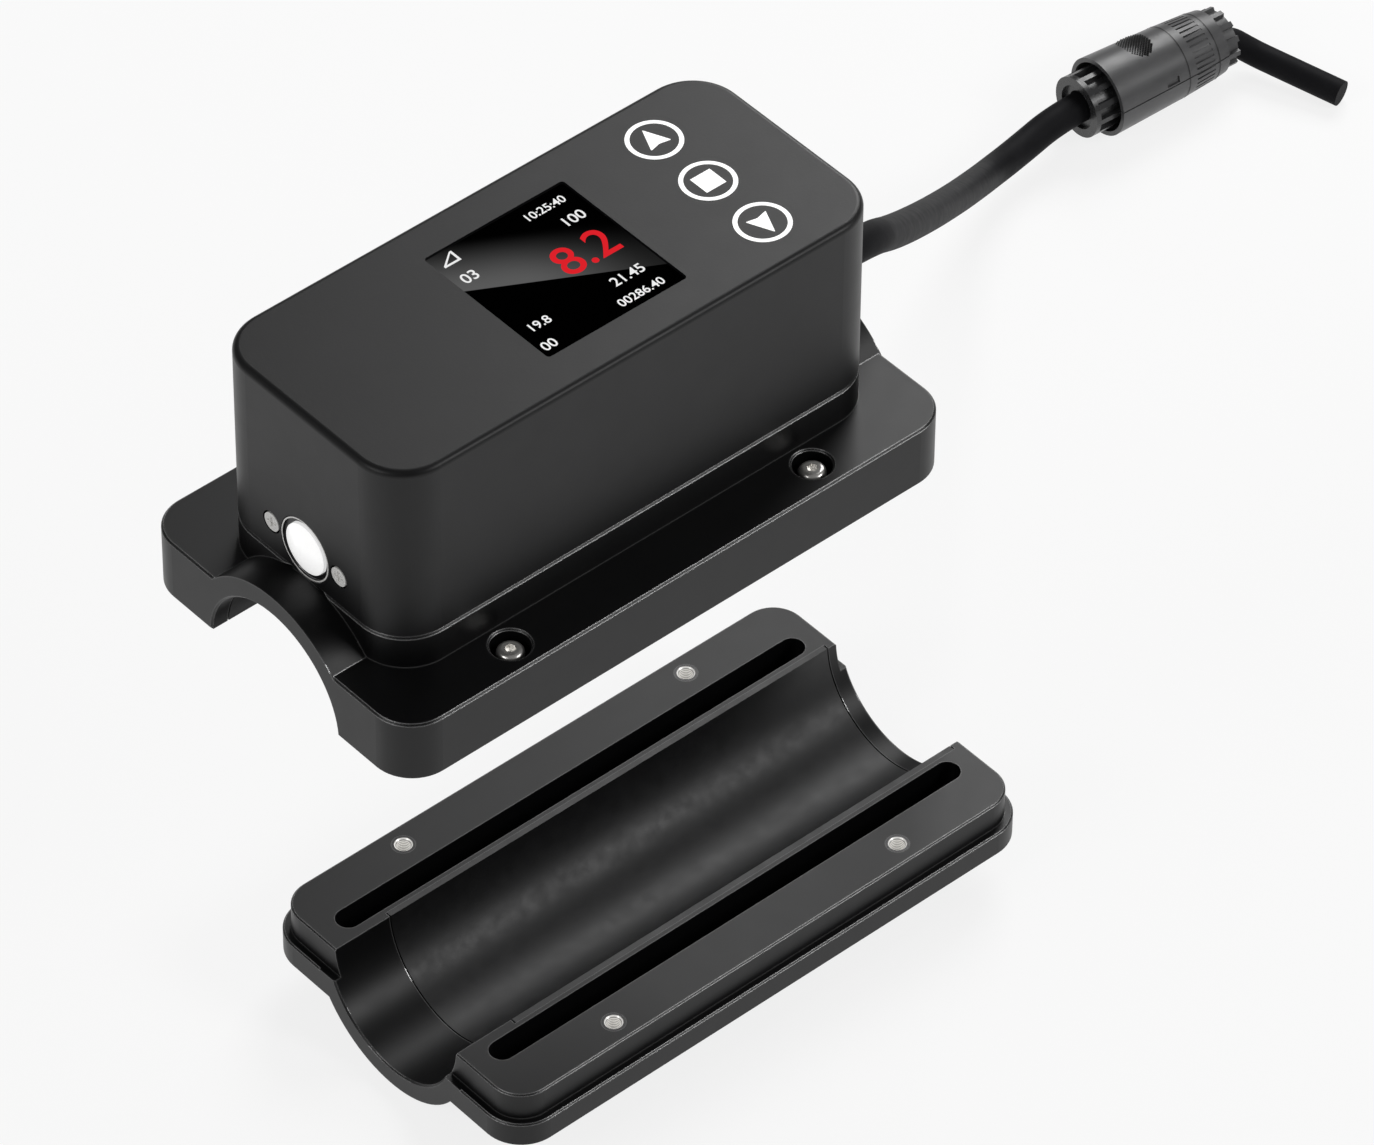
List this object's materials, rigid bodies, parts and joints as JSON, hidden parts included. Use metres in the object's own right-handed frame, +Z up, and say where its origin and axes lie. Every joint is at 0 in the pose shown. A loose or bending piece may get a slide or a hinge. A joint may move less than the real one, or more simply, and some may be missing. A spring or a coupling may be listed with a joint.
{
  "type": "clamp-on ultrasonic flow meter",
  "caption": "Clamp-on ultrasonic flow meter: black box housing with display and touch keys on a half-round pipe saddle, separate lower clamp, lead with in-line connector.",
  "frame": {"origin": "on the pipe's axis, halfway along the upper saddle", "axes": "+X along the pipe towards the lead, +Y to the far side, +Z up out of the display"},
  "size_m": [0.388, 0.1715, 0.1958],
  "materials": {
    "black_anodised_metal": "satin black anodised",
    "housing_paint": "matte black powder coat",
    "steel": "polished",
    "display_glass": "gloss",
    "lamp_white": "opal",
    "black_plastic": "satin",
    "connector_plastic": "satin",
    "cable_sheath": "matte",
    "pad_rubber": "satin",
    "wedge_plastic": "satin",
    "piezo_ceramic": "fired",
    "circuit_board": "lacquered",
    "brass": "turned"
  },
  "bodies": {
    "meter": {"upper_saddle": "black_anodised_metal", "upper_coupling_pad": "pad_rubber", "housing_shell": "housing_paint", "housing_gasket": "pad_rubber", "housing_screws": "steel", "display_window": "display_glass", "display_module": "black_plastic", "touch_board": "circuit_board", "front_transducer_wedge": "wedge_plastic", "rear_transducer_wedge": "wedge_plastic", "front_piezo_disc": "piezo_ceramic", "rear_piezo_disc": "piezo_ceramic", "temperature_probe": "steel", "main_board": "circuit_board", "board_spacers": "brass", "lamp_bezel": "black_plastic", "lamp_lens": "lamp_white", "lamp_carrier": "black_plastic", "lamp_board": "circuit_board", "lamp_screws": "steel", "cable_gland": "black_plastic", "gland_seal": "pad_rubber", "gland_nut": "black_plastic", "gland_locknut": "black_plastic", "meter_lead": "cable_sheath", "socket_nut": "black_plastic", "socket_seal": "pad_rubber", "socket_shell": "connector_plastic", "socket_insert": "black_plastic"},
    "lower": {"lower_clamp": "black_anodised_metal", "lower_coupling_pad": "pad_rubber", "threaded_inserts": "steel"},
    "plug": {"plug_shell": "connector_plastic", "plug_insert": "black_plastic", "plug_nut": "connector_plastic", "supply_lead": "cable_sheath"},
    "ring": {"coupling_ring": "connector_plastic"},
    "screw_front_left": {"clamp_screw_front_left": "steel"},
    "screw_front_right": {"clamp_screw_front_right": "steel"},
    "screw_back_left": {"clamp_screw_back_left": "steel"},
    "screw_back_right": {"clamp_screw_back_right": "steel"}
  },
  "joints": [
    {"name": "clamp_close", "type": "slide", "parent": "meter", "child": "lower", "axis": [-0.2402, 0, 0.9707], "range_m": [0, 0.10951]},
    {"name": "plug_pull", "type": "slide", "parent": "meter", "child": "plug", "axis": [0.997, -0.0769, 0], "range_m": [0, 0.02]},
    {"name": "ring_turn", "type": "hinge", "parent": "plug", "child": "ring", "pos_m": [0.2608, 0.1227, -0.1202], "axis": [0.997, -0.0769, 0], "range_deg": [0, 60]},
    {"name": "screw_front_left_drive", "type": "slide", "parent": "meter", "child": "screw_front_left", "axis": [0, 0, -1], "range_m": [0, 0.0059]},
    {"name": "screw_front_right_drive", "type": "slide", "parent": "meter", "child": "screw_front_right", "axis": [0, 0, -1], "range_m": [0, 0.0059]},
    {"name": "screw_back_left_drive", "type": "slide", "parent": "meter", "child": "screw_back_left", "axis": [0, 0, -1], "range_m": [0, 0.0059]},
    {"name": "screw_back_right_drive", "type": "slide", "parent": "meter", "child": "screw_back_right", "axis": [0, 0, -1], "range_m": [0, 0.0059]}
  ]
}
